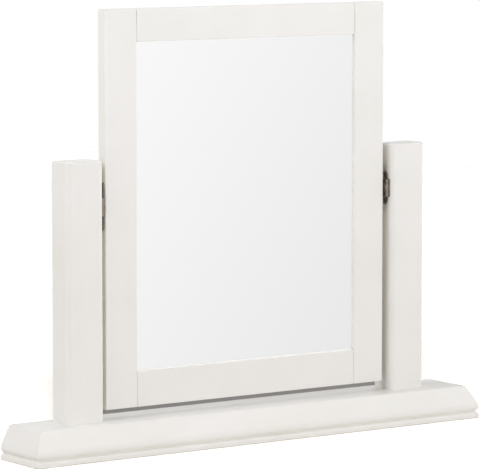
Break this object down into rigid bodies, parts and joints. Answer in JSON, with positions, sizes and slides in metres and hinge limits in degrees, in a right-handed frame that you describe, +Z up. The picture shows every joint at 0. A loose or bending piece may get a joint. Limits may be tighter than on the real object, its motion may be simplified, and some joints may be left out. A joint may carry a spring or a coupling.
{
  "type": "dressing table mirror",
  "caption": "White painted wooden dressing table mirror: a framed glass that tilts between square posts on a long moulded base.",
  "frame": {"origin": "middle of the base's underside, on the table", "axes": "+X along the mirror to its right, +Y from its front to its back, +Z up"},
  "size_m": [0.602, 0.075, 0.4833],
  "materials": {
    "painted_wood": "off-white satin paint, sprayed",
    "silvered_glass": "polished float glass, silvered on its back",
    "back_board": "brown hardboard, smooth side out",
    "beech_dowel": "bare beech, fluted dowel stock",
    "antique_bronze": "antique bronze plating, worn lighter on its edges",
    "zinc_steel": "bright zinc plating",
    "spring_steel": "oiled spring steel"
  },
  "bodies": {
    "stand": {"base_slab": "painted_wood", "base_board": "painted_wood", "slab_screws": "zinc_steel", "left_post": "painted_wood", "right_post": "painted_wood", "post_screws": "zinc_steel", "post_dowels": "beech_dowel", "left_post_plate": "antique_bronze", "right_post_plate": "antique_bronze", "post_plate_screws": "antique_bronze"},
    "mirror": {"left_stile": "painted_wood", "right_stile": "painted_wood", "top_rail": "painted_wood", "bottom_rail": "painted_wood", "frame_dowels": "beech_dowel", "mirror_glass": "silvered_glass", "back_board": "back_board", "framing_points": "zinc_steel", "frame_plate_screws": "antique_bronze", "left_frame_plate": "antique_bronze", "left_pivot_stud": "zinc_steel", "left_friction_washer": "antique_bronze", "left_disc_spring": "spring_steel", "left_retaining_washer": "zinc_steel", "right_frame_plate": "antique_bronze", "right_pivot_stud": "zinc_steel", "right_friction_washer": "antique_bronze", "right_disc_spring": "spring_steel", "right_retaining_washer": "zinc_steel"}
  },
  "joints": [
    {"name": "mirror_tilt", "type": "hinge", "parent": "stand", "child": "mirror", "pos_m": [0, 0.0062, 0.27075], "axis": [1, 0, 0], "continuous": true}
  ]
}
